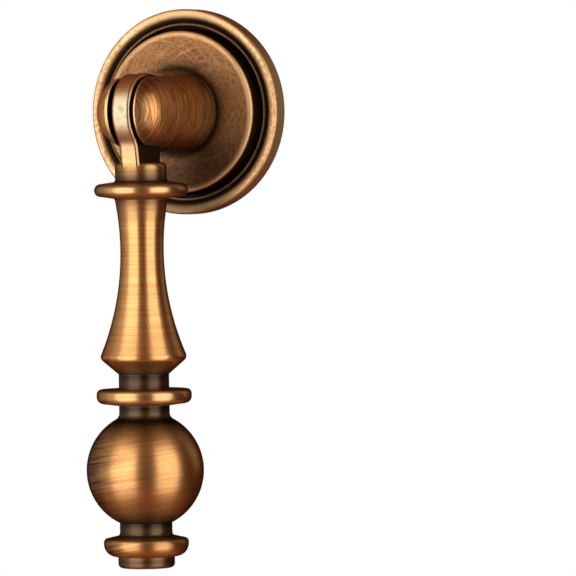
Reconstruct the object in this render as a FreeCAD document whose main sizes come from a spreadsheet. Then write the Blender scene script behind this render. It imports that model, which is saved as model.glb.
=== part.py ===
"""Single-hole drop pull for a drawer or a small door.

A round backplate carries a slotted post.  A turned drop hangs in the slot on a hinge pin and swings
out from the drawer front.  Lengths are in millimetres.  The origin is the centre of the backplate's
back face, which lies on the drawer front.  +Z points up, -Y points out of the drawer front, and
"out" below is a distance along -Y from that face.
"""
import FreeCAD, Part
import os
import Sketcher

SIZES = {
    # Backplate: a rim, a fine ring, a groove and a raised disc, hollow at the back round a boss
    "plate_radius": 15.0,
    "rim_face": 2.9,
    "rim_width": 1.0,
    "rim_edge_round": 0.5,
    "rim_crest_round": 0.9,
    "rim_slope": 0.8,
    "rim_foot": 2.0,
    "ring_slope": 0.25,
    "ring_face": 2.35,
    "ring_width": 0.35,
    "ring_round": 0.12,
    "groove_draft": 0.1,
    "groove_width": 0.3,
    "groove_floor": 1.3,
    "disc_face": 4.4,
    "disc_draft": 0.4,
    "disc_edge_round": 0.7,
    "boss_radius": 7.5,
    "back_rim_width": 4.0,
    "recess_depth": 2.8,
    # Post: a spigot through the backplate, a tapered shank and a domed nose with an upright slot
    "spigot_radius": 4.0,
    "spigot_clearance": 0.05,
    "shank_radius": 6.05,
    "dome_reach": 14.3,
    "dome_radius": 5.45,
    "slot_width": 4.1,
    "slot_edge_round": 0.25,
    "tap_radius": 1.65,
    "tap_depth": 7.5,
    "tap_point": 1.0,
    # Hinge: a plain pin, a little behind the dome's centre, driven in from one side as far as a blind hole
    "pin_behind_dome": 0.6,
    "pin_radius": 1.2,
    "pin_chamfer": 0.15,
    "pin_inset": 0.05,
    "pin_end_gap": 0.2,
    "blind_wall": 1.6,
    "pin_running_clearance": 0.05,
    "heel_clearance": 0.3,
    "inward_swing_degrees": 10,
    # Drop, from the top: a round knuckle on the pin, and a tongue on a stem that hangs a little behind it
    "knuckle_radius": 5.45,
    "stem_setback": 1.05,
    "tongue_thickness": 3.0,
    "tongue_front": 5.0,
    "tongue_inset": 0.15,
    "tongue_blend": 3.0,
    "tongue_edge_round": 0.6,
    "tongue_root": 0.9,
    "tongue_length": 7.3,
    # Collar and flange
    "collar_radius": 3.73,
    "collar_shoulder": 0.65,
    "collar_length": 2.75,
    "flange_radius": 6.77,
    "flange_thickness": 1.87,
    "flange_slope": 0.25,
    "flange_cove": 0.4,
    # Vase: one hollow curve from the flange through a waist to a lip, then a cone to the neck
    "waist_radius": 3.12,
    "waist_drop": 7.1,
    "lip_radius": 6.34,
    "lip_drop": 15.45,
    "lip_round": 0.8,
    "cone_length": 2.35,
    # Upper neck and middle bead
    "upper_neck_radius": 3.63,
    "upper_neck_length": 2.12,
    "bead_radius": 6.85,
    "bead_thickness": 2.1,
    "bead_top_round": 0.7,
    "bead_under_round": 1.0,
    "bead_under_slope": 0.3,
    # Ball, between the necks under the middle bead and above the low bead
    "ball_radius": 8.45,
    "ball_cove": 0.9,
    "middle_neck_radius": 3.64,
    "middle_neck_length": 1.67,
    "lower_neck_radius": 3.78,
    "lower_neck_length": 1.89,
    # Low bead and end button
    "low_bead_radius": 6.12,
    "low_bead_slope": 0.3,
    "low_bead_cove": 0.5,
    "low_bead_edge": 0.85,
    "low_bead_top_round": 0.6,
    "low_bead_bowl": 1.8,
    "button_radius": 4.08,
    "button_length": 1.65,
    "button_round": 0.65,
}

DERIVED = {
    # Radii of the backplate, from its edge inwards
    "rim_crest": "=plate_radius - rim_width",
    "rim_inner": "=rim_crest - rim_slope",
    "ring_outer": "=rim_inner - ring_slope",
    "ring_inner": "=ring_outer - ring_width",
    "groove_outer": "=ring_inner - groove_draft",
    "disc_foot": "=groove_outer - groove_width",
    "disc_radius": "=disc_foot - disc_draft",
    "recess_radius": "=plate_radius - back_rim_width",
    "bore_radius": "=spigot_radius + spigot_clearance",
    # The shank's taper, which runs tangent into the dome
    "dome_out": "=disc_face + dome_reach",
    "nose": "=dome_out + dome_radius",
    "shank_slant": "=sqrt(shank_radius ^ 2 + dome_reach ^ 2)",
    "shank_lean": "=acos(dome_radius / shank_slant) - atan(dome_reach / shank_radius)",
    "dome_start_radius": "=dome_radius * cos(shank_lean)",
    "dome_start": "=dome_out + dome_radius * sin(shank_lean)",
    "tap_end": "=tap_depth + tap_point",
    # The pin, and the slot that the knuckle turns in
    "pin_reach": "=dome_reach - pin_behind_dome",
    "pin_out": "=disc_face + pin_reach",
    "cheek_radius": "=shank_radius - pin_reach * tan(shank_lean)",
    "blind_depth": "=cheek_radius - blind_wall",
    "pin_head": "=sqrt(cheek_radius ^ 2 - pin_radius ^ 2) - pin_inset",
    "pin_length": "=pin_head + blind_depth - pin_end_gap",
    "slot_half": "=slot_width / 2",
    "slot_round": "=knuckle_radius + heel_clearance",
    "slot_front": "=nose + slot_width",
    "slot_reach": "=shank_radius + slot_width",
    "slot_back": "=pin_out - slot_round * cos(inward_swing_degrees)",
    "slot_back_level": "=slot_round * sin(inward_swing_degrees)",
    "slot_foot": "=slot_back - (slot_back_level + slot_reach) * tan(inward_swing_degrees)",
    # The knuckle and tongue
    "stem_out": "=pin_out - stem_setback",
    "eye_radius": "=pin_radius + pin_running_clearance",
    "tongue_back": "=knuckle_radius - stem_setback - tongue_inset",
    "tongue_foot": "=collar_radius - tongue_inset",
    "tongue_end": "=tongue_length + tongue_root",
    # Levels of the drop, measured down from the pin
    "flange_top": "=tongue_length + collar_length",
    "flange_rim_top": "=flange_top + flange_slope",
    "flange_half": "=flange_thickness / 2",
    "flange_rim_under": "=flange_rim_top + flange_thickness",
    "flange_under": "=flange_rim_under + flange_slope",
    "vase_top": "=flange_under + flange_cove",
    "lip": "=vase_top + waist_drop + lip_drop",
    "vase_curve": "=((lip_radius - waist_radius) ^ 2 + lip_drop ^ 2) / (2 * (lip_radius - waist_radius))",
    "vase_top_radius": "=waist_radius + vase_curve - sqrt(vase_curve ^ 2 - waist_drop ^ 2)",
    "upper_neck": "=lip + cone_length",
    "bead_top": "=upper_neck + upper_neck_length",
    "bead_rim_under": "=bead_top + bead_thickness",
    "bead_under": "=bead_rim_under + bead_under_slope",
    "ball_top": "=bead_under + middle_neck_length",
    "ball_middle": "=ball_top + sqrt(ball_radius ^ 2 - middle_neck_radius ^ 2)",
    "ball_foot": "=ball_middle + sqrt(ball_radius ^ 2 - lower_neck_radius ^ 2)",
    "low_bead_top": "=ball_foot + lower_neck_length",
    "low_bead_rim_top": "=low_bead_top + low_bead_slope",
    "low_bead_middle": "=low_bead_rim_top + low_bead_edge",
    "low_bead_under": "=low_bead_middle + low_bead_bowl",
    "low_bead_foot": "=low_bead_radius - low_bead_bowl",
    "drop_end": "=low_bead_under + button_length",
}

FULL_TURN = 360
SAME = 1e-4
LEFT = "left"
RIGHT = "right"
ON_AXIS = "0"
# Where a sketch keeps its own level axis, upright axis and origin point
LEVEL_AXIS_INDEX = -1
UPRIGHT_AXIS_INDEX = -2
ORIGIN = (LEVEL_AXIS_INDEX, 1)

doc = FreeCAD.newDocument("drop_pull")
sheet = doc.addObject("Spreadsheet::Sheet", "sizes")
for row, (alias, content) in enumerate({**SIZES, **DERIVED}.items(), 1):
    sheet.set(f"A{row}", alias)
    sheet.set(f"B{row}", str(content))
    sheet.setAlias(f"B{row}", alias)
doc.recompute()


def size(formula):
    """The present value of a formula over the sizes."""
    return float(sheet.evalExpression(formula))


def bound(formula):
    """The same formula as another object has to write it."""
    words = formula.split()
    return " ".join(f"sizes.{word}" if word[0].isalpha() else word for word in words)


def new_body(name):
    body = doc.addObject("PartDesign::Body", name)
    body.Label = name
    return body


def new_sketch(body, name, role):
    """An empty sketch on one of the body's own origin planes."""
    sketch = body.newObject("Sketcher::SketchObject", name)
    base = next(plane for plane in body.Origin.OriginFeatures if plane.Role == role)
    sketch.AttachmentSupport = (base, "")
    sketch.MapMode = "FlatFace"
    return sketch


def hold(sketch, kind, places, formula):
    """Add a constraint whose value follows a formula over the sizes."""
    index = sketch.addConstraint(Sketcher.Constraint(kind, *places, size(formula)))
    sketch.setExpression(f"Constraints[{index}]", bound(formula))


def side(formula):
    """Split a leading minus sign, for the other side of the axis, from a formula."""
    return (-1, formula[1:]) if formula.startswith("-") else (1, formula)


def spot(across, along, signs):
    """The point at two formulas' distances from a sketch's origin, on the sides that the signs give."""
    (flip_across, across), (flip_along, along) = side(across), side(along)
    return FreeCAD.Vector(signs[0] * flip_across * size(across), signs[1] * flip_along * size(along), 0)


def place(sketch, point, across, along, signs):
    """Hold a point of a sketch at that spot."""
    for kind, formula, sign in (("DistanceX", across, signs[0]), ("DistanceY", along, signs[1])):
        flip, formula = side(formula)
        if formula == ON_AXIS:
            axis = UPRIGHT_AXIS_INDEX if kind == "DistanceX" else LEVEL_AXIS_INDEX
            sketch.addConstraint(Sketcher.Constraint("PointOnObject", *point, axis))
        elif sign * flip > 0:
            hold(sketch, kind, (*ORIGIN, *point), formula)
        else:
            hold(sketch, kind, (*point, *ORIGIN), formula)


def arc(start, end, radius, turn):
    """The short arc from start to end that turns LEFT or RIGHT on the way."""
    chord = end - start
    rise = max(radius ** 2 - (chord.Length / 2) ** 2, 0.0) ** 0.5
    across = FreeCAD.Vector(-chord.y, chord.x, 0).normalize()
    centre = start + chord / 2 + across * (rise if turn == LEFT else -rise)
    circle = Part.Circle(centre, FreeCAD.Vector(0, 0, 1), radius)
    first, last = (start, end) if turn == LEFT else (end, start)
    return Part.ArcOfCircle(circle, circle.parameter(first), circle.parameter(last))


def outline(sketch, corners, signs):
    """Draw a closed outline through corners.

    A corner is two formulas, its distances across and along from the sketch's origin, and then the way to
    the next corner: nothing for a straight run, or a radius and a turn for an arc.  The signs say on which
    side of the origin the distances count, and a formula with a leading minus lies on the other side.
    """
    points = [spot(across, along, signs) for across, along, *_ in corners]
    runs = []
    for index, (_, _, *bend) in enumerate(corners):
        start = points[index]
        end = points[(index + 1) % len(points)]
        if bend:
            radius, turn = bend
            edge = sketch.addGeometry(arc(start, end, size(radius), turn), False)
            hold(sketch, "Radius", (edge,), radius)
            runs.append(((edge, 1), (edge, 2)) if turn == LEFT else ((edge, 2), (edge, 1)))
        else:
            edge = sketch.addGeometry(Part.LineSegment(start, end), False)
            runs.append(((edge, 1), (edge, 2)))
    for index, (first, last) in enumerate(runs):
        following = runs[(index + 1) % len(runs)][0]
        sketch.addConstraint(Sketcher.Constraint("Coincident", *last, *following))
        place(sketch, first, corners[index][0], corners[index][1], signs)


def revolve(body, sketch, name):
    """Turn a sketch right round its own upright axis."""
    turned = body.newObject("PartDesign::Revolution", name)
    turned.Profile = sketch
    turned.ReferenceAxis = (sketch, ["V_Axis"])
    turned.Angle = FULL_TURN
    sketch.Visibility = False
    doc.recompute()
    return turned


def circle_at(sketch, radius, across, along, signs):
    """Draw a circle with its centre at two formulas' distances from the origin."""
    centre = spot(across, along, signs)
    edge = sketch.addGeometry(Part.Circle(centre, FreeCAD.Vector(0, 0, 1), size(radius)), False)
    hold(sketch, "Radius", (edge,), radius)
    place(sketch, (edge, 3), across, along, signs)


def pad_both_ways(body, sketch, name, thickness):
    """Pad a sketch by half the thickness to each side of its plane."""
    padded = body.newObject("PartDesign::Pad", name)
    padded.Profile = sketch
    padded.SideType = "Symmetric"
    padded.setExpression("Length", bound(thickness))
    doc.recompute()
    return padded


def round_edges(body, feature, name, edges, radius):
    """Round the named edges of a feature."""
    rounded = body.newObject("PartDesign::Fillet", name)
    rounded.Base = (feature, edges)
    rounded.setExpression("Radius", bound(radius))
    doc.recompute()
    return rounded


def edges_where(feature, test):
    """Names of a feature's edges that pass a test."""
    return [f"Edge{index}" for index, edge in enumerate(feature.Shape.Edges, 1) if test(edge)]


def is_ring(edge, radius, centre):
    """Whether an edge is a circle of that radius round that centre."""
    if not isinstance(edge.Curve, Part.Circle):
        return False
    return abs(edge.Curve.Radius - radius) < SAME and edge.Curve.Center.distanceToPoint(centre) < SAME


def make_backplate():
    body = new_body("backplate")
    sketch = new_sketch(body, "backplate_profile", "XY_Plane")
    corners = [
        ("bore_radius", ON_AXIS),
        ("boss_radius", ON_AXIS),
        ("boss_radius", "recess_depth"),
        ("recess_radius", "recess_depth"),
        ("recess_radius", ON_AXIS),
        ("plate_radius", ON_AXIS),
        ("plate_radius", "rim_face"),
        ("rim_crest", "rim_face"),
        ("rim_inner", "rim_foot"),
        ("ring_outer", "ring_face"),
        ("ring_inner", "ring_face"),
        ("groove_outer", "groove_floor"),
        ("disc_foot", "groove_floor"),
        ("disc_radius", "disc_face"),
        ("bore_radius", "disc_face"),
    ]
    outline(sketch, corners, (1, -1))
    shape = revolve(body, sketch, "plate")
    for radius, out, rounding in (
        ("disc_radius", "disc_face", "disc_edge_round"),
        ("plate_radius", "rim_face", "rim_edge_round"),
        ("rim_crest", "rim_face", "rim_crest_round"),
        ("ring_outer", "ring_face", "ring_round"),
        ("ring_inner", "ring_face", "ring_round"),
    ):
        centre = FreeCAD.Vector(0, -size(out), 0)
        edges = edges_where(shape, lambda edge: is_ring(edge, size(radius), centre))
        shape = round_edges(body, shape, f"rounded_{radius}", edges, rounding)
    return body


def make_post():
    body = new_body("post")
    sketch = new_sketch(body, "post_profile", "XY_Plane")
    corners = [
        (ON_AXIS, "tap_end"),
        ("tap_radius", "tap_depth"),
        ("tap_radius", ON_AXIS),
        ("spigot_radius", ON_AXIS),
        ("spigot_radius", "disc_face"),
        ("shank_radius", "disc_face"),
        ("dome_start_radius", "dome_start", "dome_radius", RIGHT),
        (ON_AXIS, "nose"),
    ]
    outline(sketch, corners, (1, -1))
    revolve(body, sketch, "shank")

    # The slot is open at the nose, above and below.  Its back is round about the pin, and below the pin it
    # leans back, to leave room for the tongue when the drop swings in towards the drawer front
    slot_sketch = new_sketch(body, "slot_outline", "YZ_Plane")
    slot_corners = [
        ("slot_front", "-slot_reach"),
        ("slot_front", "slot_reach"),
        ("pin_out", "slot_reach"),
        ("pin_out", "slot_round", "slot_round", RIGHT),
        ("slot_back", "slot_back_level"),
        ("slot_foot", "-slot_reach"),
    ]
    outline(slot_sketch, slot_corners, (-1, 1))
    slot = body.newObject("PartDesign::Pocket", "slot")
    slot.Profile = slot_sketch
    slot.SideType = "Symmetric"
    slot.setExpression("Length", bound("slot_width"))
    doc.recompute()

    # The pin hole runs through one cheek and stops inside the other
    hole_sketch = new_sketch(body, "pin_hole_circle", "YZ_Plane")
    circle_at(hole_sketch, "pin_radius", "pin_out", ON_AXIS, (-1, 1))
    hole = body.newObject("PartDesign::Pocket", "pin_hole")
    hole.Profile = hole_sketch
    hole.SideType = "Two sides"
    hole.Type = "ThroughAll"
    hole.Type2 = "Length"
    hole.setExpression("Length2", bound("blind_depth"))
    doc.recompute()

    # Polished edges where the sides of the slot come out of the dome and the shank
    def on_mouth(edge):
        box = edge.BoundBox
        beside_slot = box.XLength < SAME and abs(abs(box.XMin) - size("slot_half")) < SAME
        faces = hole.Shape.ancestorsOfType(edge, Part.Face)
        return beside_slot and any(isinstance(face.Surface, (Part.Sphere, Part.Cone)) for face in faces)

    round_edges(body, hole, "slot_mouth", edges_where(hole, on_mouth), "slot_edge_round")
    return body


def make_hinge_pin():
    body = new_body("hinge_pin")
    sketch = new_sketch(body, "pin_circle", "YZ_Plane")
    circle_at(sketch, "pin_radius", ON_AXIS, ON_AXIS, (1, 1))
    shaft = body.newObject("PartDesign::Pad", "pin_shaft")
    shaft.Profile = sketch
    shaft.setExpression("Length", bound("pin_length"))
    doc.recompute()
    ends = body.newObject("PartDesign::Chamfer", "pin_ends")
    ends.Base = (shaft, edges_where(shaft, lambda edge: isinstance(edge.Curve, Part.Circle)))
    ends.setExpression("Size", bound("pin_chamfer"))
    body.setExpression("Placement.Base.x", "-sizes.pin_head")
    body.setExpression("Placement.Base.y", "-sizes.pin_out")
    doc.recompute()
    return body


def make_drop():
    body = new_body("drop")
    body.setExpression("Placement.Base.y", "-sizes.stem_out")

    # The knuckle is a flat disc round the pin, forward of the stem
    knuckle_sketch = new_sketch(body, "knuckle_circle", "YZ_Plane")
    circle_at(knuckle_sketch, "knuckle_radius", "stem_setback", ON_AXIS, (-1, 1))
    pad_both_ways(body, knuckle_sketch, "knuckle", "tongue_thickness")

    # The tongue narrows from the knuckle to the collar
    tongue_sketch = new_sketch(body, "tongue_outline", "YZ_Plane")
    tongue_corners = [
        ("tongue_front", ON_AXIS),
        ("tongue_foot", "tongue_end"),
        ("-tongue_foot", "tongue_end"),
        ("-tongue_back", ON_AXIS),
    ]
    outline(tongue_sketch, tongue_corners, (-1, -1))
    tongue = pad_both_ways(body, tongue_sketch, "tongue", "tongue_thickness")

    # A hollow blend under the knuckle's front, then rounded edges along both flat sides
    root = -size("tongue_end")

    def under_front(edge):
        box = edge.BoundBox
        return box.XLength > SAME and box.YMax < 0 and 0 > box.ZMin > root + SAME

    blended = round_edges(body, tongue, "tongue_blend", edges_where(tongue, under_front), "tongue_blend")
    flat = size("tongue_thickness / 2")

    def beside_flat(edge):
        box = edge.BoundBox
        return box.XLength < SAME and abs(abs(box.XMin) - flat) < SAME and box.ZMax > root + SAME

    round_edges(body, blended, "tongue_edges", edges_where(blended, beside_flat), "tongue_edge_round")

    # The eye turns on the pin
    eye_sketch = new_sketch(body, "eye_circle", "YZ_Plane")
    circle_at(eye_sketch, "eye_radius", "stem_setback", ON_AXIS, (-1, 1))
    eye = body.newObject("PartDesign::Pocket", "eye")
    eye.Profile = eye_sketch
    eye.SideType = "Symmetric"
    eye.Type = "ThroughAll"
    doc.recompute()

    # The turned stem, from the collar down to the end button
    stem_sketch = new_sketch(body, "stem_profile", "XZ_Plane")
    corners = [
        (ON_AXIS, "tongue_length"),
        ("collar_radius - collar_shoulder", "tongue_length", "collar_shoulder", RIGHT),
        ("collar_radius", "tongue_length + collar_shoulder"),
        ("collar_radius", "flange_top - flange_cove", "flange_cove", LEFT),
        ("collar_radius + flange_cove", "flange_top"),
        ("flange_radius - flange_half", "flange_rim_top", "flange_half", RIGHT),
        ("flange_radius", "flange_rim_top + flange_half", "flange_half", RIGHT),
        ("flange_radius - flange_half", "flange_rim_under"),
        ("vase_top_radius + flange_cove", "flange_under", "flange_cove", LEFT),
        ("vase_top_radius", "vase_top", "vase_curve", LEFT),
        ("lip_radius", "lip"),
        ("upper_neck_radius", "upper_neck"),
        ("upper_neck_radius", "bead_top"),
        ("bead_radius - bead_top_round", "bead_top", "bead_top_round", RIGHT),
        ("bead_radius", "bead_top + bead_top_round"),
        ("bead_radius", "bead_rim_under - bead_under_round", "bead_under_round", RIGHT),
        ("bead_radius - bead_under_round", "bead_rim_under"),
        ("middle_neck_radius", "bead_under"),
        ("middle_neck_radius", "ball_top", "ball_radius", RIGHT),
        ("lower_neck_radius", "ball_foot"),
        ("lower_neck_radius", "low_bead_top - low_bead_cove", "low_bead_cove", LEFT),
        ("lower_neck_radius + low_bead_cove", "low_bead_top"),
        ("low_bead_radius - low_bead_top_round", "low_bead_rim_top", "low_bead_top_round", RIGHT),
        ("low_bead_radius", "low_bead_rim_top + low_bead_top_round"),
        ("low_bead_radius", "low_bead_middle", "low_bead_bowl", RIGHT),
        ("low_bead_foot", "low_bead_under"),
        ("button_radius", "low_bead_under"),
        ("button_radius", "drop_end - button_round", "button_round", RIGHT),
        ("button_radius - button_round", "drop_end"),
        (ON_AXIS, "drop_end"),
    ]
    outline(stem_sketch, corners, (1, -1))
    stem = revolve(body, stem_sketch, "stem")

    lip_centre = FreeCAD.Vector(0, 0, -size("lip"))
    lip = edges_where(stem, lambda edge: is_ring(edge, size("lip_radius"), lip_centre))
    rounded = round_edges(body, stem, "lip_edge", lip, "lip_round")
    ball_top_centre = FreeCAD.Vector(0, 0, -size("ball_top"))
    cove = edges_where(rounded, lambda edge: is_ring(edge, size("middle_neck_radius"), ball_top_centre))
    round_edges(body, rounded, "ball_top_cove", cove, "ball_cove")
    return body


pieces = [make_backplate(), make_post(), make_hinge_pin(), make_drop()]
doc.recompute()

for item in doc.Objects:
    if "Invalid" in item.State or "Error" in item.State:
        raise RuntimeError(f"{item.Name} failed: {item.State}")
for piece in pieces:
    if piece.Shape.isNull() or not piece.Shape.isValid() or len(piece.Shape.Solids) != 1:
        raise RuntimeError(f"{piece.Label} is not one valid solid")

os.makedirs("parts", exist_ok=True)
for piece in pieces:
    piece.Shape.exportStep(f"parts/{piece.Label}.step")
    box = piece.Shape.optimalBoundingBox()
    lengths = f"{box.XLength:.2f} x {box.YLength:.2f} x {box.ZLength:.2f} mm"
    print(f"{piece.Label}: {lengths}, {piece.Shape.Volume:.1f} cubic mm")
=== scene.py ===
# %% [markdown]
# # A drop pull in brushed antique bronze
#
# The pull is a round backplate with a slotted post, and a turned drop that hangs in the slot on a pin.
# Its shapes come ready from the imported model.  What is left to do here is what the eye reads as metal:
# the finish of each piece, the studio that the metal mirrors, and the camera.

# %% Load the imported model
import math

import bpy
from mathutils import Matrix, Vector

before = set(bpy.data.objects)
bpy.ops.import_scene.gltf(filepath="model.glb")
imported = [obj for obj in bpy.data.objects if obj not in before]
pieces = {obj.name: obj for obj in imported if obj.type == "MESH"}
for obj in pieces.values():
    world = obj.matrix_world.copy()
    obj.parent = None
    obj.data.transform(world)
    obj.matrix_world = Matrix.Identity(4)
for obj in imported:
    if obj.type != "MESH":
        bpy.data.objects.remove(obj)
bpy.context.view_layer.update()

# Sizes on the pull are written in millimetres, and the studio's in Blender's metres
MM = 0.001
scene = bpy.context.scene
scene.view_settings.view_transform = "Standard"
print("pieces:", ", ".join(sorted(pieces)))

# %% [markdown]
# ## The camera
#
# The backplate is round, and the photograph shows it as an ellipse.  The ratio of the ellipse's sides gives
# the angle, 26 degrees to the right.  The beads near the bottom are seen only a little from above, so the
# camera stands about ten times the pull's length away, behind a long lens.  It leans a little, because the
# drop's lower end stands further right in the picture than its upper end.

# %% Stand the camera where the photographer stood
PICTURE_WIDTH = 576
PICTURE_MIDDLE = Vector((288, 288))
PLATE_PIXEL = Vector((184.6, 111.8))
PIXELS_PER_METRE = 6840
PLATE_CENTRE = Vector((0, -2.42 * MM, 0))
CAMERA_AZIMUTH = math.radians(26)
CAMERA_ELEVATION = math.radians(-0.4)
CAMERA_LEAN = math.radians(-0.83)
CAMERA_DISTANCE = 0.8


def direction(azimuth, elevation):
    """The unit vector from the pull towards a viewer at that azimuth and elevation."""
    level = math.cos(elevation)
    return Vector((math.sin(azimuth) * level, -math.cos(azimuth) * level, math.sin(elevation)))


towards_camera = direction(CAMERA_AZIMUTH, CAMERA_ELEVATION)
across = Vector((math.cos(CAMERA_AZIMUTH), math.sin(CAMERA_AZIMUTH), 0))
upwards = towards_camera.cross(across)
offset = (PICTURE_MIDDLE - PLATE_PIXEL) / PIXELS_PER_METRE
station = PLATE_CENTRE + towards_camera * CAMERA_DISTANCE
aim = PLATE_CENTRE + across * offset.x - upwards * offset.y

lens = bpy.data.cameras.new("long_lens")
lens.lens = PIXELS_PER_METRE * CAMERA_DISTANCE * lens.sensor_width / PICTURE_WIDTH
camera = bpy.data.objects.new("camera", lens)
scene.collection.objects.link(camera)
level_view = (aim - station).to_track_quat("-Z", "Y").to_matrix()
leaning_view = Matrix.Rotation(CAMERA_LEAN, 3, towards_camera) @ level_view
camera.matrix_world = Matrix.Translation(station) @ leaning_view.to_4x4()
scene.camera = camera
print(f"lens {lens.lens:.0f} mm")

# %% [markdown]
# ## Two helpers
#
# Colours are written as the hex values that a picture editor shows.  Blender mixes light in linear values,
# so one function turns one into the other.  A second one adds a shader node with its settings and links,
# so that each finish below reads as a short list.

# %% Colours and nodes


def linear(hex_colour):
    """A linear RGBA colour from an sRGB hex value."""
    shares = [int(hex_colour[place:place + 2], 16) / 255 for place in (1, 3, 5)]
    return [share / 12.92 if share <= 0.04045 else ((share + 0.055) / 1.055) ** 2.4 for share in shares] + [1]


def add(tree, kind, inputs=None, stops=(), **settings):
    """Add a shader node, with its settings, its inputs as values or links, and a ramp's stops."""
    node = tree.nodes.new(f"ShaderNode{kind}")
    for name, value in settings.items():
        setattr(node, name, value)
    for place, value in (inputs or {}).items():
        if isinstance(value, bpy.types.NodeSocket):
            tree.links.new(value, node.inputs[place])
        else:
            node.inputs[place].default_value = value
    for index, (position, value) in enumerate(stops):
        elements = node.color_ramp.elements
        element = elements[index] if index < 2 else elements.new(position)
        element.position = position
        element.color = (value, value, value, 1)
    return node


print(f"hex grey #808080 is {linear('#808080')[0]:.2f} in linear light")

# %% [markdown]
# ## The finish
#
# The real pull is cast in a zinc alloy, plated with bronze, stained dark, brushed until the stain is left
# only in the hollows, and lacquered.  So one recipe serves all the bronze: a brown in the depth of the brush
# marks and a lighter bronze on their ridges, pale bare metal where it is rubbed, and dark stain where no
# brush reaches.  The pale layer also paints highlights, and the dark layer also paints shade.  Each piece
# says where its marks, its bare places and painted highlights, and its stain and painted shade are.
#
# Fine grooves that run round an axis smear a reflection across themselves, so each highlight is drawn out
# into a band, as on a brushed pan.  The metal's edges turn brown when seen at a slant, and the stain is
# duller than the metal.  The lacquer is a thin clear coat over it, which whitens the highlights.

# %% The recipe for brushed antique bronze
BRUSH_DEPTH = 0.012 * MM
BUMP_STRENGTH = 0.25
SMEAR = 0.65
QUARTER_TURN = 0.25
EDGE_BROWN = linear("#6E4A30")
STAIN_DULLNESS = 0.2
LACQUER_ROUGHNESS = 0.25
# A Mix node has an A, a B and a Result for each kind of value, and these are the places of its colours
MIX_A, MIX_B, MIX_RESULT = 6, 7, 2


def new_tree(name):
    """A new material and its empty node tree."""
    material = bpy.data.materials.new(name)
    material.use_nodes = True
    material.node_tree.nodes.clear()
    return material, material.node_tree


def bronze(tree, axis, lacquer, roughness, colours, marks, bare_and_highlight, stain_and_shade):
    """Finish a tree as bronze brushed round an axis.

    Roughness holds the depth's and the ridge's, colours holds the depth's, the ridge's, the bare metal's
    and the stain's, and the rest are masks from 0 to 1.  The bare metal's layer also paints highlights, and
    the stain's layer also paints shade.
    """
    depth, ridge, bare_and_highlight_colour, dark = (linear(colour) for colour in colours)
    colour = depth
    # The pale layer is bare metal and painted highlight, the dark one stain and painted shade
    for mask, paint in ((marks, ridge), (bare_and_highlight, bare_and_highlight_colour), (stain_and_shade, dark)):
        layer = add(tree, "Mix", {"Factor": mask, MIX_A: colour, MIX_B: paint}, data_type="RGBA")
        colour = layer.outputs[MIX_RESULT]
    brushed = add(tree, "MapRange", {"Value": marks, "To Min": roughness[0], "To Max": roughness[1]})
    dulled = add(tree, "Math", {0: stain_and_shade, 1: STAIN_DULLNESS, 2: brushed.outputs["Result"]},
                 operation="MULTIPLY_ADD")
    bump = add(tree, "Bump", {"Height": marks, "Strength": BUMP_STRENGTH, "Distance": BRUSH_DEPTH})
    round_axis = add(tree, "Tangent", direction_type="RADIAL", axis=axis)
    surface = add(tree, "BsdfPrincipled", {
        "Base Color": colour,
        "Roughness": dulled.outputs["Value"],
        "Normal": bump.outputs["Normal"],
        "Tangent": round_axis.outputs["Tangent"],
        "Anisotropic": SMEAR,
        "Anisotropic Rotation": QUARTER_TURN,
        "Specular Tint": EDGE_BROWN,
        "Metallic": 1.0,
        "Coat Weight": lacquer,
        "Coat Roughness": LACQUER_ROUGHNESS,
    })
    add(tree, "OutputMaterial", {"Surface": surface.outputs["BSDF"]})


def dress(name, material):
    """Give a piece its finish."""
    mesh = pieces[name].data
    mesh.materials.clear()
    mesh.materials.append(material)
    print(f"{name}: {material.name}, {len(mesh.polygons)} faces")


print(f"brush marks are up to {BRUSH_DEPTH / MM:.3f} mm deep")

# %% [markdown]
# ## The drop: marks of the brush
#
# The drop turned on a lathe while a brush was held to it, so its marks run round it.  A noise that is drawn
# out along X and Y and packed tight along Z gives such marks with no seam.  The ball was gone over by hand
# afterwards, at a slant, so a second noise that leans takes over there.

# %% Brush marks round the drop
MARK_WIDTH = 0.3
MARK_LENGTH = 14.0
MARK_CONTRAST = (0.08, 0.9)
BALL_SLANT = math.radians(9)
BALL_FADE = (-45.0, -47.0)

drop_finish, tree = new_tree("bronze_brushed_on_the_lathe")
coordinates = add(tree, "TexCoord")
axes = add(tree, "SeparateXYZ", {"Vector": coordinates.outputs["Object"]})
brushings = []
for slant in (0, BALL_SLANT):
    leaning = add(tree, "Mapping", {"Vector": coordinates.outputs["Object"], "Rotation": (0, slant, 0)})
    drawn_out = add(tree, "Mapping", {
        "Vector": leaning.outputs["Vector"],
        "Scale": (1 / (MARK_LENGTH * MM), 1 / (MARK_LENGTH * MM), 1 / (MARK_WIDTH * MM)),
    })
    brushing = add(tree, "TexNoise", {
        "Vector": drawn_out.outputs["Vector"], "Scale": 1.0, "Detail": 6.0, "Roughness": 0.7,
    })
    brushings.append(brushing.outputs["Fac"])
on_ball = add(tree, "MapRange", {
    "Value": axes.outputs["Z"], "From Min": BALL_FADE[0] * MM, "From Max": BALL_FADE[1] * MM,
})
marks = add(tree, "Mix", {"Factor": on_ball.outputs["Result"], "A": brushings[0], "B": brushings[1]})
contrast = add(tree, "MapRange", {
    "Value": marks.outputs["Result"], "From Min": MARK_CONTRAST[0], "From Max": MARK_CONTRAST[1],
})
print(f"marks {MARK_WIDTH} mm wide and about {MARK_LENGTH} mm long")
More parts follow.
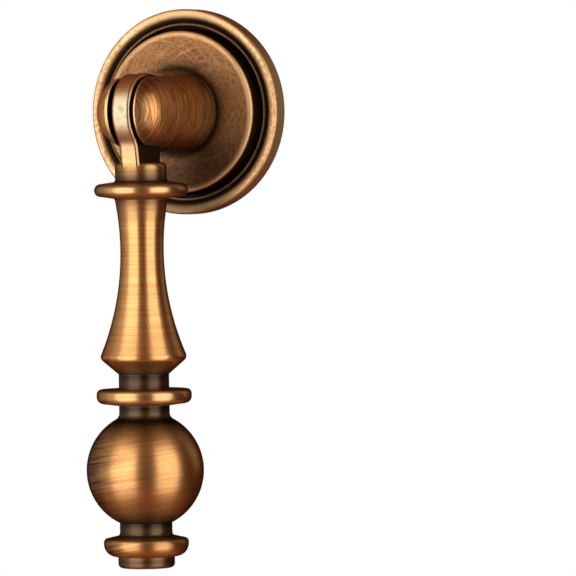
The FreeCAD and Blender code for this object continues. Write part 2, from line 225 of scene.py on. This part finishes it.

# %% [markdown]
# ## The drop: stain, painted shade, bare metal and painted highlights
#
# The stain is left in the necks.  The same ramp paints shade on the ball's top and bottom next to them, under
# the flange and on the collar, and it also darkens the end button and the low bead.  The flange and the
# middle bead are paler, partly from wear and partly as painted highlight, and the knuckle is rubbed bare by
# the slot.
# All these places are known by their height, so one ramp over the height paints the stain and the painted
# shade, and another the bare metal and the painted highlights.

# %% Stain, painted shade, bare metal and painted highlights by height
DROP_TOP = 6.0
DROP_END = -66.0
STAIN_AND_SHADE_LEVELS = [
    # End button and low bead
    (-66.0, 0.45), (-64.5, 0.85), (-63.2, 0.15), (-61.5, 0.3),
    # Lower neck, the ball with painted shade on its top and bottom, and the neck above it
    (-61.1, 0.95), (-60.2, 0.8), (-59.2, 1.0), (-58.6, 0.8), (-57.0, 0.5), (-54.0, 0.2), (-49.0, 0.0),
    (-46.3, 0.5), (-44.4, 1.0), (-43.4, 0.8), (-42.4, 1.0),
    # Middle bead, the neck above it, and the vase
    (-42.0, 0.35), (-41.6, 0.0), (-40.2, 0.0), (-39.9, 0.85), (-38.9, 0.8), (-37.9, 1.0), (-37.3, 0.5),
    (-36.2, 0.0), (-16.0, 0.0),
    # Painted shade under the flange, the flange, and painted shade on the collar
    (-12.8, 0.6), (-12.2, 0.4), (-11.8, 0.0), (-10.7, 0.0), (-10.2, 0.95), (-9.6, 0.8), (-8.0, 0.35),
    (-7.2, 0.0),
]
BARE_AND_HIGHLIGHT_LEVELS = [
    # Middle bead and flange, paler from wear and as painted highlight
    (-42.1, 0.0), (-41.6, 0.2), (-40.4, 0.2), (-39.9, 0.0), (-12.1, 0.0), (-11.7, 0.4), (-10.7, 0.4),
    (-10.3, 0.0),
    # Tongue and knuckle
    (-8.6, 0.0), (-7.0, 0.35), (-4.0, 0.75), (-1.5, 1.0), (2.4, 1.0), (3.0, 0.4), (5.4, 0.15),
]

height = add(tree, "MapRange", {
    "Value": axes.outputs["Z"], "From Min": DROP_END * MM, "From Max": DROP_TOP * MM,
})
ramps = []
for levels in (STAIN_AND_SHADE_LEVELS, BARE_AND_HIGHLIGHT_LEVELS):
    stops = [((level - DROP_END) / (DROP_TOP - DROP_END), amount) for level, amount in levels]
    ramp = add(tree, "ValToRGB", {"Fac": height.outputs["Result"]}, stops=stops)
    ramps.append(ramp.outputs["Color"])
stain_and_shade_by_height, bare_and_highlight_by_height = ramps
print(f"{len(STAIN_AND_SHADE_LEVELS)} levels of stain and {len(BARE_AND_HIGHLIGHT_LEVELS)} of bare metal")

# %% [markdown]
# ## The drop: wear and painted shade
#
# Rubbing is never even.  Blotches break up the bare metal and leave specks of stain on the knuckle.  The
# tongue's flat sides are known by the way they face, and are painted dark as the shade between and under the
# cheeks.  The left of the ball is scuffed: there the stain shows between the marks, and it is laid on widely
# there as painted shade that dims the ball's left bright band.  The eye gets a warm satin metal with two soft
# bright bands, and dark lines that part one turned shape from the next.

# %% Brushed bronze of the drop
BLOTCH_SIZE = 1.2
ROUGHNESS_OF_DROP = (0.39, 0.29)
# The bare colour also paints highlights on the flange and bead, and the stain colour also paints shade
COLOURS_OF_DROP = ("#984812", "#D9B06C", "#9E9678", "#160E0A")
LACQUER_OF_DROP = 0.35
LEAST_RUBBING = 0.55

blotches = add(tree, "TexNoise", {
    "Vector": coordinates.outputs["Object"], "Scale": 1 / (BLOTCH_SIZE * MM), "Detail": 5.0,
})
facing = add(tree, "SeparateXYZ", {"Vector": coordinates.outputs["Normal"]})
sideways = add(tree, "Math", {0: facing.outputs["X"]}, operation="ABSOLUTE")
# Each mask grows from 0 to its most between two values
masks = {}
for name, (value, start, full, most) in {
    "flat_side": (sideways.outputs["Value"], 0.85, 0.97, 0.85),
    "above_collar": (axes.outputs["Z"], -7.6 * MM, -7.2 * MM, 1.0),
    "speck": (blotches.outputs["Fac"], 0.60, 0.74, 0.45),
    "leftwards": (axes.outputs["X"], 2.0 * MM, -5.0 * MM, 0.9),
    "between_marks": (marks.outputs["Result"], 0.68, 0.4, 1.0),
}.items():
    mask = add(tree, "MapRange", {"Value": value, "From Min": start, "From Max": full, "To Max": most})
    masks[name] = mask.outputs["Result"]
uneven = add(tree, "MapRange", {
    "Value": blotches.outputs["Fac"], "From Min": 0.35, "From Max": 0.6, "To Min": LEAST_RUBBING,
})
bare_and_highlight = add(tree, "Math", {0: bare_and_highlight_by_height, 1: uneven.outputs["Result"]}, operation="MULTIPLY")
# The ball's scuffs are laid on widely on its left, as painted shade that dims the bright band there
scuffs_and_shade = add(tree, "Math", {0: masks["leftwards"], 1: on_ball.outputs["Result"]}, operation="MULTIPLY")
stain_and_shade = stain_and_shade_by_height
# The tongue's flat sides are painted dark as the shade between and under the cheeks
for amount, place in (
    (masks["flat_side"], masks["above_collar"]),
    (masks["speck"], masks["above_collar"]),
    (scuffs_and_shade.outputs["Value"], masks["between_marks"]),
):
    patch = add(tree, "Math", {0: amount, 1: place}, operation="MULTIPLY")
    strongest = add(tree, "Math", {0: stain_and_shade, 1: patch.outputs["Value"]}, operation="MAXIMUM")
    stain_and_shade = strongest.outputs["Value"]
bronze(tree, "Z", LACQUER_OF_DROP, ROUGHNESS_OF_DROP, COLOURS_OF_DROP,
       contrast.outputs["Result"], bare_and_highlight.outputs["Value"], stain_and_shade)
dress("drop", drop_finish)

# %% [markdown]
# ## The post: marks of the brush
#
# The post was brushed on its own axis, which points out of the drawer front, so its marks are rings round
# that axis.  Distance out less distance from the axis grows steadily along the shank and over the dome to
# its tip, so rings packed along that measure stay about the same width everywhere.

# %% Brush marks round the post
POST_MARK_WIDTH = 0.35
POST_MARK_LENGTH = 3.5
POST_MARK_CONTRAST = (0.36, 0.68)

post_finish, tree = new_tree("bronze_brushed_round_the_post")
coordinates = add(tree, "TexCoord")
axes = add(tree, "SeparateXYZ", {"Vector": coordinates.outputs["Object"]})
cross_section = add(tree, "CombineXYZ", {"X": axes.outputs["X"], "Z": axes.outputs["Z"]})
radius = add(tree, "VectorMath", {0: cross_section.outputs["Vector"]}, operation="LENGTH")
along = add(tree, "Math", {0: axes.outputs["Y"], 1: radius.outputs["Value"]}, operation="ADD")
unrolled = add(tree, "CombineXYZ", {
    "X": axes.outputs["X"], "Y": along.outputs["Value"], "Z": axes.outputs["Z"],
})
drawn_out = add(tree, "Mapping", {
    "Vector": unrolled.outputs["Vector"],
    "Scale": (1 / (POST_MARK_LENGTH * MM), 1 / (POST_MARK_WIDTH * MM), 1 / (POST_MARK_LENGTH * MM)),
})
marks = add(tree, "TexNoise", {
    "Vector": drawn_out.outputs["Vector"], "Scale": 1.0, "Detail": 5.0, "Roughness": 0.7, "Distortion": 0.9,
})
contrast = add(tree, "MapRange", {
    "Value": marks.outputs["Fac"], "From Min": POST_MARK_CONTRAST[0], "From Max": POST_MARK_CONTRAST[1],
})
print(f"rings {POST_MARK_WIDTH} mm wide")

# %% [markdown]
# ## The post: stain, painted shade and painted highlights
#
# The stain stays in the slot.  Painted shade darkens the corner where the post meets the backplate and the
# right cheek beside the slot, where it dims the dome's glow.  It is thick below, where the drop shelters the
# post, and thin along the top.  The slot's edges are bright, partly from wear and partly as a painted
# highlight.
# The eye gets fine rings, a glow on the dome, and a dark end of painted shade that sets the post off from the
# plate.

# %% Brushed bronze of the post
ROUGHNESS_OF_POST = (0.40, 0.29)
# The bare colour also paints the slot edges' highlight, and the stain colour also paints shade
COLOURS_OF_POST = ("#64290A", "#F2B066", "#F0C88A", "#1E0E08")
LACQUER_OF_POST = 0.3

off_middle = add(tree, "Math", {0: axes.outputs["X"]}, operation="ABSOLUTE")
facing = add(tree, "SeparateXYZ", {"Vector": coordinates.outputs["Normal"]})
sideways = add(tree, "Math", {0: facing.outputs["X"]}, operation="ABSOLUTE")
masks = {}
for name, (value, start, full, most) in {
    "slot_wall": (sideways.outputs["Value"], 0.9, 0.99, 1.0),
    "in_slot": (off_middle.outputs["Value"], 2.2 * MM, 2.08 * MM, 1.0),
    "near_slot": (axes.outputs["X"], 4.7 * MM, 3.1 * MM, 0.65),
    "off_edge": (axes.outputs["X"], 2.3 * MM, 2.5 * MM, 1.0),
    "edge": (off_middle.outputs["Value"], 2.45 * MM, 2.2 * MM, 1.0),
    "along_slot": (axes.outputs["Y"], -13.0 * MM, -14.0 * MM, 1.0),
    "foot": (axes.outputs["Y"], -10.5 * MM, -4.6 * MM, 0.75),
    "below": (axes.outputs["Z"], -1.0 * MM, -5.5 * MM, 0.85),
    "above": (axes.outputs["Z"], 1.5 * MM, 5.0 * MM, 0.42),
}.items():
    mask = add(tree, "MapRange", {"Value": value, "From Min": start, "From Max": full, "To Max": most})
    masks[name] = mask.outputs["Result"]
# Painted shade beside the slot on the right cheek dims the dome's highlight
slot_stain = add(tree, "Math", {0: masks["slot_wall"], 1: masks["in_slot"]}, operation="MULTIPLY")
cheek_shade = add(tree, "Math", {0: masks["near_slot"], 1: masks["off_edge"]}, operation="MULTIPLY")
# The slot's edges get bright metal, partly wear and partly a painted highlight
bare_and_highlight = add(tree, "Math", {0: masks["edge"], 1: masks["along_slot"]}, operation="MULTIPLY")
stain_and_shade = slot_stain.outputs["Value"]
# The foot, the underside and the top are darkened as painted shade
for patch in (cheek_shade.outputs["Value"], masks["foot"], masks["below"], masks["above"]):
    stain_and_shade = add(tree, "Math", {0: stain_and_shade, 1: patch}, operation="MAXIMUM").outputs["Value"]
bronze(tree, "Y", LACQUER_OF_POST, ROUGHNESS_OF_POST, COLOURS_OF_POST,
       contrast.outputs["Result"], bare_and_highlight.outputs["Value"], stain_and_shade)
dress("post", post_finish)

# %% [markdown]
# ## The backplate: hairlines
#
# The disc was brushed by hand in small swirls, so its hairlines are short and cross each other at a slant to
# the circle.  Turning each point by an angle that grows with its radius makes straight spokes into such
# slanted lines, once each way.  Spokes widen outwards, so a hairline has its true width at one radius, near
# the middle of what shows.  A fine grain between the lines is left from the casting.

# %% Hairlines on the backplate
PLATE_RADIUS = 15.0
HAIR_WIDTH = 0.22
HAIR_LENGTH = 2.5
TRUE_WIDTH_RADIUS = 9.0
HAIR_CONTRAST = (0.44, 0.68)
# Radians per metre of radius, one way and the other
HAIR_TWISTS = (260, -190)
GRAIN_SIZE = 0.5
GRAIN_SHARE = 0.25

plate_finish, tree = new_tree("bronze_brushed_by_hand")
coordinates = add(tree, "TexCoord")
axes = add(tree, "SeparateXYZ", {"Vector": coordinates.outputs["Object"]})
face = add(tree, "CombineXYZ", {"X": axes.outputs["X"], "Z": axes.outputs["Z"]})
radius = add(tree, "VectorMath", {0: face.outputs["Vector"]}, operation="LENGTH")
steps = add(tree, "Math", {0: radius.outputs["Value"], 1: 1 / (HAIR_LENGTH * MM)}, operation="MULTIPLY")
lengthwise = add(tree, "CombineXYZ", {"Y": steps.outputs["Value"]})
hairs = []
for twist in HAIR_TWISTS:
    turn = add(tree, "Math", {0: radius.outputs["Value"], 1: twist}, operation="MULTIPLY")
    turned = add(tree, "VectorRotate", {
        "Vector": face.outputs["Vector"], "Axis": (0, 1, 0), "Angle": turn.outputs["Value"],
    })
    way = add(tree, "VectorMath", {0: turned.outputs["Vector"]}, operation="NORMALIZE")
    spokes = add(tree, "VectorMath", {0: way.outputs["Vector"], "Scale": TRUE_WIDTH_RADIUS / HAIR_WIDTH},
                 operation="SCALE")
    placed = add(tree, "VectorMath", {0: spokes.outputs["Vector"], 1: lengthwise.outputs["Vector"]},
                 operation="ADD")
    hair = add(tree, "TexNoise", {
        "Vector": placed.outputs["Vector"], "Scale": 1.0, "Detail": 4.0, "Roughness": 0.65, "Distortion": 0.8,
    })
    hairs.append(hair.outputs["Fac"])
crossed = add(tree, "Math", {0: hairs[0], 1: hairs[1]}, operation="MAXIMUM")
grain = add(tree, "TexNoise", {
    "Vector": coordinates.outputs["Object"], "Scale": 1 / (GRAIN_SIZE * MM), "Detail": 4.0,
})
marks = add(tree, "Mix", {"Factor": GRAIN_SHARE, "A": crossed.outputs["Value"], "B": grain.outputs["Fac"]})
contrast = add(tree, "MapRange", {
    "Value": marks.outputs["Result"], "From Min": HAIR_CONTRAST[0], "From Max": HAIR_CONTRAST[1],
})
print(f"hairlines {HAIR_WIDTH} mm wide, {len(hairs)} ways")

# %% [markdown]
# ## The backplate: stain, painted shade and painted highlights
#
# The brush didn't reach the groove and the foot of the rim, which are nearly black.  Painted shade rings the
# post's foot and fades out over the disc round it.  The disc's edge, a fine ring in the groove and the crest
# of the rim are bright, partly from wear and partly as painted highlight.  All of these lie at a radius from
# the middle, so two ramps over the radius paint them.  A third, over the height, paints shade on the bottom
# and the top of the plate, where the rim is.

# %% Stain, painted shade and painted highlights by radius and height
PLATE_STAIN_AND_SHADE = [
    # Painted shade round the post's foot, fading over the disc
    (0.0, 0.9), (6.1, 0.95), (6.5, 0.85), (7.0, 0.45), (7.6, 0.25), (8.6, 0.1), (10.5, 0.0), (11.68, 0.0),
    # Groove, fine ring, and the foot of the rim
    (11.82, 0.9), (11.95, 1.0), (12.52, 1.0), (12.62, 0.62), (12.88, 0.62), (12.98, 0.95), (13.3, 0.9),
    (13.6, 0.7), (13.75, 0.15), (13.85, 0.0), (15.0, 0.0),
]
PLATE_WEAR_AND_HIGHLIGHT = [
    # Painted highlights, with wear, on the disc's edge, the fine ring and the crest of the rim
    (0.0, 0.0), (10.85, 0.0), (11.4, 0.5), (11.7, 0.9), (11.85, 0.0), (12.55, 0.0), (12.65, 0.2),
    (12.85, 0.2), (12.95, 0.0), (13.5, 0.1), (13.75, 0.7), (13.95, 1.0), (14.8, 1.0), (15.0, 0.5),
]
RIM_PAINTED_SHADE = [(-15.0, 0.7), (-14.0, 0.7), (-10.0, 0.0), (11.0, 0.0), (14.0, 0.3), (15.0, 0.3)]

reach = add(tree, "Math", {0: radius.outputs["Value"], 1: PLATE_RADIUS * MM}, operation="DIVIDE")
level = add(tree, "MapRange", {
    "Value": axes.outputs["Z"], "From Min": -PLATE_RADIUS * MM, "From Max": PLATE_RADIUS * MM,
})
ramps = []
for value, first, levels in (
    (reach.outputs["Value"], 0.0, PLATE_STAIN_AND_SHADE),
    (reach.outputs["Value"], 0.0, PLATE_WEAR_AND_HIGHLIGHT),
    (level.outputs["Result"], -PLATE_RADIUS, RIM_PAINTED_SHADE),
):
    stops = [((mark - first) / (PLATE_RADIUS - first), amount) for mark, amount in levels]
    ramps.append(add(tree, "ValToRGB", {"Fac": value}, stops=stops).outputs["Color"])
stain_and_shade_by_radius, wear_and_highlight_by_radius, rim_painted_shade = ramps
print(f"{len(PLATE_STAIN_AND_SHADE)} radii of stain and {len(PLATE_WEAR_AND_HIGHLIGHT)} of bright metal")

# %% [markdown]
# ## The backplate: shade
#
# The disc is painted darker towards its lower right, as the shade below the post and the drop.  Specks of
# stain are left on the rim, the rim's side is duller than its face, and the flat back has none of the
# groove's stain.  The eye gets a quiet face with bright circles round it, partly painted highlights, which
# lets the post and the drop stand out.

# %% Brushed bronze of the backplate
PAINTED_SHADE_WAY = (0.2, 0, -0.98)
ROUGHNESS_OF_PLATE = (0.46, 0.36)
# The third colour also paints highlights, and the fourth also paints shade
COLOURS_OF_PLATE = ("#5A3A20", "#976D46", "#DCB27E", "#160C07")
LACQUER_OF_PLATE = 0.05

downwards = add(tree, "VectorMath", {0: coordinates.outputs["Object"], 1: PAINTED_SHADE_WAY},
                operation="DOT_PRODUCT")
masks = {}
for name, (value, start, full, most) in {
    "in_front": (axes.outputs["Y"], -1.0 * MM, -1.2 * MM, 1.0),
    "shade_low": (downwards.outputs["Value"], 1.0 * MM, 9.0 * MM, 0.66),
    "on_disc": (radius.outputs["Value"], 11.75 * MM, 11.25 * MM, 1.0),
    "speck": (grain.outputs["Fac"], 0.42, 0.62, 0.35),
    "on_rim": (radius.outputs["Value"], 13.0 * MM, 13.4 * MM, 1.0),
    "side": (axes.outputs["Y"], -2.6 * MM, -2.3 * MM, 0.35),
}.items():
    mask = add(tree, "MapRange", {"Value": value, "From Min": start, "From Max": full, "To Max": most})
    masks[name] = mask.outputs["Result"]
# The ramp over the height is painted shade on the plate's bottom and top
stain_and_shade = add(tree, "Math", {0: rim_painted_shade, 1: masks["side"]}, operation="MAXIMUM").outputs["Value"]
# The radius ramp is groove stain and painted shade round the post, and shade_low is painted shade low on the
# disc
for amount, place in (
    (stain_and_shade_by_radius, masks["in_front"]),
    (masks["shade_low"], masks["on_disc"]),
    (masks["speck"], masks["on_rim"]),
):
    patch = add(tree, "Math", {0: amount, 1: place}, operation="MULTIPLY")
    strongest = add(tree, "Math", {0: stain_and_shade, 1: patch.outputs["Value"]}, operation="MAXIMUM")
    stain_and_shade = strongest.outputs["Value"]
bronze(tree, "Y", LACQUER_OF_PLATE, ROUGHNESS_OF_PLATE, COLOURS_OF_PLATE,
       contrast.outputs["Result"], wear_and_highlight_by_radius, stain_and_shade)
dress("backplate", plate_finish)

# %% [markdown]
# ## The hinge pin
#
# Only the pin's end shows, in the left cheek.  It is a plain steel pin that went through the same stain, so
# the eye gets a small dark dot with a dull shine.

# %% Stained steel of the pin
STEEL_DARK = linear("#2B211C")
STEEL_WORN = linear("#5A4638")
STEEL_GRAIN_SIZE = 0.4
ROUGHNESS_OF_PIN = (0.5, 0.3)

pin_finish, tree = new_tree("steel_stained_dark")
coordinates = add(tree, "TexCoord")
grain = add(tree, "TexNoise", {
    "Vector": coordinates.outputs["Object"], "Scale": 1 / (STEEL_GRAIN_SIZE * MM), "Detail": 3.0,
})
worn = add(tree, "Mix", {"Factor": grain.outputs["Fac"], MIX_A: STEEL_DARK, MIX_B: STEEL_WORN},
           data_type="RGBA")
dulled = add(tree, "MapRange", {
    "Value": grain.outputs["Fac"], "To Min": ROUGHNESS_OF_PIN[0], "To Max": ROUGHNESS_OF_PIN[1],
})
surface = add(tree, "BsdfPrincipled", {
    "Base Color": worn.outputs[MIX_RESULT], "Roughness": dulled.outputs["Result"], "Metallic": 1.0,
})
add(tree, "OutputMaterial", {"Surface": surface.outputs["BSDF"]})
dress("hinge_pin", pin_finish)

# %% [markdown]
# ## The studio: lamps
#
# Metal has no look of its own: it shows what stands round it.  The photograph has a tall soft light on each
# side, which draw the two bright bands down the drop.  Four weaker lamps lift what those two leave black:
# the left edges, the left side further back, the plate's edge on the right, and the faces turned up.

# %% Lamps
PULL_MIDDLE = Vector((0, -15 * MM, -30 * MM))
# Azimuth and elevation in degrees, distance, width and height in metres, and brightness
SOFTBOXES = {
    "left_softbox": (-20, 2, 0.45, (0.46, 0.90), 2.9),
    "right_softbox": (73, 2, 0.50, (0.44, 0.96), 2.6),
    "left_fill": (-63, 5, 0.50, (0.28, 0.70), 0.8),
    "left_rear_fill": (-100, 8, 0.55, (0.40, 0.60), 0.45),
    "right_rear_fill": (150, 20, 0.60, (0.30, 0.50), 0.38),
    "front_fill": (26, 28, 0.65, (0.30, 0.30), 0.12),
}


def softbox(name, azimuth, elevation, distance, size, radiance):
    """A rectangular lamp that faces the pull, with the same brightness all over."""
    lamp = bpy.data.lights.new(name, "AREA")
    lamp.shape = "RECTANGLE"
    lamp.size, lamp.size_y = size
    lamp.energy = radiance * math.pi * size[0] * size[1]
    holder = bpy.data.objects.new(name, lamp)
    scene.collection.objects.link(holder)
    outwards = direction(math.radians(azimuth), math.radians(elevation))
    facing_pull = (-outwards).to_track_quat("-Z", "Y").to_matrix().to_4x4()
    holder.matrix_world = Matrix.Translation(PULL_MIDDLE + outwards * distance) @ facing_pull
    print(f"{name}: {lamp.energy:.2f} W")


for name, settings in SOFTBOXES.items():
    softbox(name, *settings)

# %% [markdown]
# ## The studio: dark cloth
#
# Between and behind the lamps the metal mirrors something dark and warm, which gives the drop its brown
# middle line and its dark edges.  A drum of brown cloth stands for it.  Only reflections can see the drum,
# and its floor and ceiling are lighter, because light falls on them.

# %% Dark cloth round the pull
DRUM_RADIUS = 0.75
DRUM_LOW, DRUM_HIGH = -0.53, 0.6
DRUM_SIDES = 48
# The hue at full brightness, which the glow dims to brown
CLOTH_BROWN = linear("#FF946A")
CLOTH_GLOW = [(0.0, 0.45), (0.02, 0.09), (0.98, 0.09), (1.0, 0.30)]

rings = []
for level in (DRUM_LOW, DRUM_HIGH):
    for step in range(DRUM_SIDES):
        angle = math.tau * step / DRUM_SIDES
        rings.append((math.sin(angle) * DRUM_RADIUS, math.cos(angle) * DRUM_RADIUS, level))
walls = []
for step in range(DRUM_SIDES):
    following = (step + 1) % DRUM_SIDES
    walls.append((step, following, DRUM_SIDES + following, DRUM_SIDES + step))
lids = [tuple(range(DRUM_SIDES)), tuple(range(DRUM_SIDES, 2 * DRUM_SIDES))]
drum_mesh = bpy.data.meshes.new("dark_cloth")
drum_mesh.from_pydata(rings, [], walls + lids)

cloth, tree = new_tree("dark_studio_cloth")
coordinates = add(tree, "TexCoord")
axes = add(tree, "SeparateXYZ", {"Vector": coordinates.outputs["Object"]})
height = add(tree, "MapRange", {"Value": axes.outputs["Z"], "From Min": DRUM_LOW, "From Max": DRUM_HIGH})
glow = add(tree, "ValToRGB", {"Fac": height.outputs["Result"]}, stops=CLOTH_GLOW)
dim = add(tree, "Emission", {"Color": CLOTH_BROWN, "Strength": glow.outputs["Color"]})
add(tree, "OutputMaterial", {"Surface": dim.outputs["Emission"]})
drum_mesh.materials.append(cloth)

drum = bpy.data.objects.new("dark_cloth", drum_mesh)
scene.collection.objects.link(drum)
drum.visible_camera = False
drum.visible_diffuse = False
drum.visible_shadow = False
print(f"cloth drum {2 * DRUM_RADIUS} m across, {DRUM_HIGH - DRUM_LOW:.2f} m tall")

# %% [markdown]
# ## The floor
#
# The pull is hung in the air, as in the photograph, so the pale paper floor lies far below the picture.  It
# takes the pull's soft shadow in the middle and fades to the background's white further out.

# %% Pale floor
FLOOR_LEVEL = -0.55
FLOOR_HALF = 4.0
FLOOR_FADE = (0.70, 1.10)
PAPER = linear("#F4F2EE")

floor_mesh = bpy.data.meshes.new("pale_floor")
quarters = ((-1, -1), (1, -1), (1, 1), (-1, 1))
floor_corners = [(x * FLOOR_HALF, y * FLOOR_HALF, FLOOR_LEVEL) for x, y in quarters]
floor_mesh.from_pydata(floor_corners, [], [(0, 1, 2, 3)])
paper, tree = new_tree("pale_studio_paper")
coordinates = add(tree, "TexCoord")
from_middle = add(tree, "VectorMath", {0: coordinates.outputs["Object"]}, operation="LENGTH")
fade = add(tree, "MapRange", {
    "Value": from_middle.outputs["Value"], "From Min": FLOOR_FADE[0], "From Max": FLOOR_FADE[1],
}, interpolation_type="SMOOTHSTEP")
matt = add(tree, "BsdfDiffuse", {"Color": PAPER})
white = add(tree, "Emission", {"Strength": 1.0})
faded = add(tree, "MixShader", {
    0: fade.outputs["Result"], 1: matt.outputs["BSDF"], 2: white.outputs["Emission"],
})
add(tree, "OutputMaterial", {"Surface": faded.outputs["Shader"]})
floor_mesh.materials.append(paper)
floor = bpy.data.objects.new("pale_floor", floor_mesh)
scene.collection.objects.link(floor)
print(f"floor {-FLOOR_LEVEL} m below the backplate's middle")

# %% [markdown]
# ## The background
#
# The photograph's background is plain white.  The world is white to the camera, to reflections and through
# clear things, and dimmer as a lamp, so the white doesn't wash out the metal.

# %% White background
WORLD_AS_LAMP = 0.5
WORLD_AS_SEEN = 1.0

world = bpy.data.worlds.new("white_background")
scene.world = world
world.use_nodes = True
tree = world.node_tree
tree.nodes.clear()
path = add(tree, "LightPath")
seen = path.outputs["Is Camera Ray"]
for ray in ("Is Glossy Ray", "Is Transmission Ray"):
    seen = add(tree, "Math", {0: seen, 1: path.outputs[ray]}, operation="MAXIMUM").outputs["Value"]
strength = add(tree, "MapRange", {"Value": seen, "To Min": WORLD_AS_LAMP, "To Max": WORLD_AS_SEEN})
backdrop = add(tree, "Background", {"Color": (1, 1, 1, 1), "Strength": strength.outputs["Result"]})
add(tree, "OutputWorld", {"Surface": backdrop.outputs["Background"]})
print("background:", world.name)
